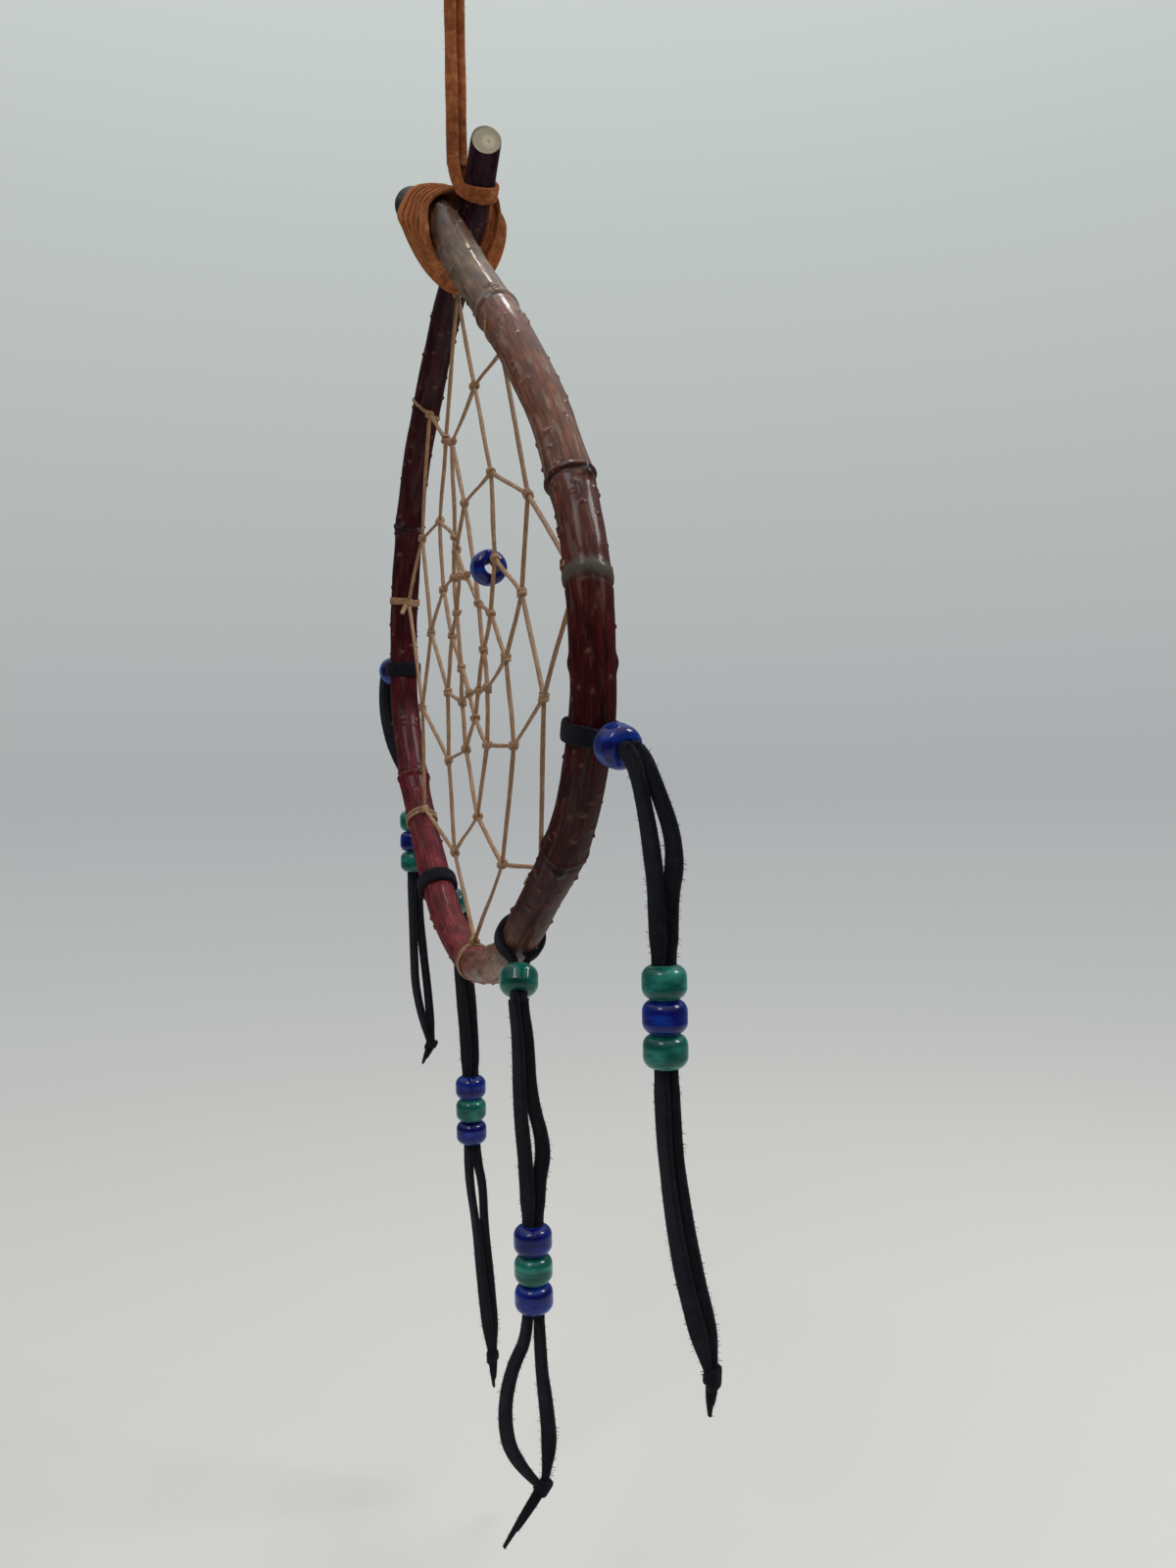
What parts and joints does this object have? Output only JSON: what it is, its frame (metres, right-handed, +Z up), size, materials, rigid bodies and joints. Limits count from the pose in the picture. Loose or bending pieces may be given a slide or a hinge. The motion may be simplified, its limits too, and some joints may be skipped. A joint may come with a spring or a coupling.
{
  "type": "dream catcher",
  "caption": "Bent twig hoop with a hitched thread web, hung by a knotted suede lace loop, with doubled suede laces and pony beads hanging from the hoop.",
  "frame": {"origin": "where a hook bears inside the hanging loop", "axes": "+Z up, +X across the hoop, -Y out of the front of the web"},
  "size_m": [0.2047, 0.0358, 0.4279],
  "materials": {
    "bark": "dull maroon bark, satin, pale cut ends",
    "lace_tan": "tan suede lace, matt",
    "suede_black": "black suede lace, matt, fuzzy",
    "thread": "waxed tan thread",
    "bead_blue": "pearl blue",
    "bead_green": "pearl teal green"
  },
  "bodies": {
    "hanger": {"hanging_loop": "lace_tan", "hanger_knot": "lace_tan"},
    "hoop": {"hoop_twig": "bark", "lashing": "lace_tan", "stub_turn": "lace_tan", "hanger_strand_a": "lace_tan", "hanger_strand_b": "lace_tan", "web_hitches": "thread", "web_round_1": "thread", "web_round_2": "thread", "web_round_3": "thread", "web_round_4": "thread", "web_round_5": "thread", "web_round_6": "thread"},
    "web_bead": {"web_bead": "bead_blue"},
    "right_loop": {"right_loop": "suede_black"},
    "right_cinch": {"right_cinch_bead": "bead_blue"},
    "right_strands": {"right_strand_a": "suede_black", "right_strand_b": "suede_black", "right_end_knot": "suede_black"},
    "right_bead_2": {"right_bead_2": "bead_blue"},
    "right_bead_1": {"right_bead_1": "bead_green"},
    "right_bead_3": {"right_bead_3": "bead_green"},
    "near_loop": {"near_loop": "suede_black"},
    "near_cinch": {"near_cinch_bead": "bead_green"},
    "near_strands": {"near_strand_a": "suede_black", "near_strand_b": "suede_black", "near_end_knot": "suede_black"},
    "near_bead_2": {"near_bead_2": "bead_green"},
    "near_bead_1": {"near_bead_1": "bead_blue"},
    "near_bead_3": {"near_bead_3": "bead_blue"},
    "far_loop": {"far_loop": "suede_black"},
    "far_cinch": {"far_cinch_bead": "bead_green"},
    "far_strands": {"far_strand_a": "suede_black", "far_strand_b": "suede_black", "far_end_knot": "suede_black"},
    "far_bead_2": {"far_bead_2": "bead_green"},
    "far_bead_1": {"far_bead_1": "bead_blue"},
    "far_bead_3": {"far_bead_3": "bead_blue"},
    "left_loop": {"left_loop": "suede_black"},
    "left_cinch": {"left_cinch_bead": "bead_blue"},
    "left_strands": {"left_strand_a": "suede_black", "left_strand_b": "suede_black", "left_end_knot": "suede_black"},
    "left_bead_2": {"left_bead_2": "bead_blue"},
    "left_bead_1": {"left_bead_1": "bead_green"},
    "left_bead_3": {"left_bead_3": "bead_green"}
  },
  "joints": [
    {"name": "hoop_twist", "type": "hinge", "parent": "hanger", "child": "hoop", "pos_m": [0, 0, -0.03255], "axis": [0, 0, 1], "range_deg": [-180, 180], "stiffness_Nm_per_rad": 0.002},
    {"name": "web_bead_slide", "type": "slide", "parent": "hoop", "child": "web_bead", "axis": [-0.9996, 0, 0.0286], "range_m": [0, 0.006]},
    {"name": "right_loop_turn", "type": "hinge", "parent": "hoop", "child": "right_loop", "pos_m": [0.08124, 0.0015, -0.23259], "axis": [-0.2875, 0, -0.9578], "range_deg": [-25, 25]},
    {"name": "right_cinch_slide", "type": "slide", "parent": "right_loop", "child": "right_cinch", "axis": [0.9509, 0.1195, -0.2854], "range_m": [0, 0.003]},
    {"name": "right_strands_swing", "type": "hinge", "parent": "right_loop", "child": "right_strands", "pos_m": [0.09827, 0.00364, -0.2377], "axis": [1, 0, 0], "range_deg": [-15, 15], "stiffness_Nm_per_rad": 0.005},
    {"name": "right_stack_slide", "type": "slide", "parent": "right_strands", "child": "right_bead_2", "axis": [0, 0, 1], "range_m": [-0.0015, 0.0015]},
    {"name": "right_top_bead_slide", "type": "slide", "parent": "right_bead_2", "child": "right_bead_1", "axis": [0, 0, 1], "range_m": [0, 0.0015]},
    {"name": "right_bottom_bead_slide", "type": "slide", "parent": "right_bead_2", "child": "right_bead_3", "axis": [0, 0, 1], "range_m": [-0.0015, 0]},
    {"name": "near_loop_turn", "type": "hinge", "parent": "hoop", "child": "near_loop", "pos_m": [0.03489, 0.0015, -0.27937], "axis": [-0.8365, 0, -0.548], "range_deg": [-25, 25]},
    {"name": "near_cinch_slide", "type": "slide", "parent": "near_loop", "child": "near_cinch", "axis": [0.5341, -0.224, -0.8152], "range_m": [0, 0.003]},
    {"name": "near_strands_swing", "type": "hinge", "parent": "near_loop", "child": "near_strands", "pos_m": [0.04445, -0.00251, -0.29396], "axis": [0, 1, 0], "range_deg": [-15, 15], "stiffness_Nm_per_rad": 0.005},
    {"name": "near_stack_slide", "type": "slide", "parent": "near_strands", "child": "near_bead_2", "axis": [0, 0, 1], "range_m": [-0.0015, 0.0015]},
    {"name": "near_top_bead_slide", "type": "slide", "parent": "near_bead_2", "child": "near_bead_1", "axis": [0, 0, 1], "range_m": [0, 0.0015]},
    {"name": "near_bottom_bead_slide", "type": "slide", "parent": "near_bead_2", "child": "near_bead_3", "axis": [0, 0, 1], "range_m": [-0.0015, 0]},
    {"name": "far_loop_turn", "type": "hinge", "parent": "hoop", "child": "far_loop", "pos_m": [-0.03947, 0.0015, -0.27193], "axis": [-0.696, 0, 0.7181], "range_deg": [-25, 25]},
    {"name": "far_cinch_slide", "type": "slide", "parent": "far_loop", "child": "far_cinch", "axis": [-0.5939, 0.5621, -0.5756], "range_m": [0, 0.003]},
    {"name": "far_strands_swing", "type": "hinge", "parent": "far_loop", "child": "far_strands", "pos_m": [-0.0501, 0.01156, -0.28223], "axis": [0, 1, 0], "range_deg": [-15, 15], "stiffness_Nm_per_rad": 0.005},
    {"name": "far_stack_slide", "type": "slide", "parent": "far_strands", "child": "far_bead_2", "axis": [0, 0, 1], "range_m": [-0.0015, 0.0015]},
    {"name": "far_top_bead_slide", "type": "slide", "parent": "far_bead_2", "child": "far_bead_1", "axis": [0, 0, 1], "range_m": [0, 0.0015]},
    {"name": "far_bottom_bead_slide", "type": "slide", "parent": "far_bead_2", "child": "far_bead_3", "axis": [0, 0, 1], "range_m": [-0.0015, 0]},
    {"name": "left_loop_turn", "type": "hinge", "parent": "hoop", "child": "left_loop", "pos_m": [-0.077, 0.0015, -0.20443], "axis": [0.0428, 0, 0.9991], "range_deg": [-25, 25]},
    {"name": "left_cinch_slide", "type": "slide", "parent": "left_loop", "child": "left_cinch", "axis": [-0.9977, -0.0523, 0.0427], "range_m": [0, 0.003]},
    {"name": "left_strands_swing", "type": "hinge", "parent": "left_loop", "child": "left_strands", "pos_m": [-0.09486, 0.00056, -0.20367], "axis": [1, 0, 0], "range_deg": [-15, 15], "stiffness_Nm_per_rad": 0.005},
    {"name": "left_stack_slide", "type": "slide", "parent": "left_strands", "child": "left_bead_2", "axis": [0, 0, 1], "range_m": [-0.0015, 0.0015]},
    {"name": "left_top_bead_slide", "type": "slide", "parent": "left_bead_2", "child": "left_bead_1", "axis": [0, 0, 1], "range_m": [0, 0.0015]},
    {"name": "left_bottom_bead_slide", "type": "slide", "parent": "left_bead_2", "child": "left_bead_3", "axis": [0, 0, 1], "range_m": [-0.0015, 0]}
  ]
}
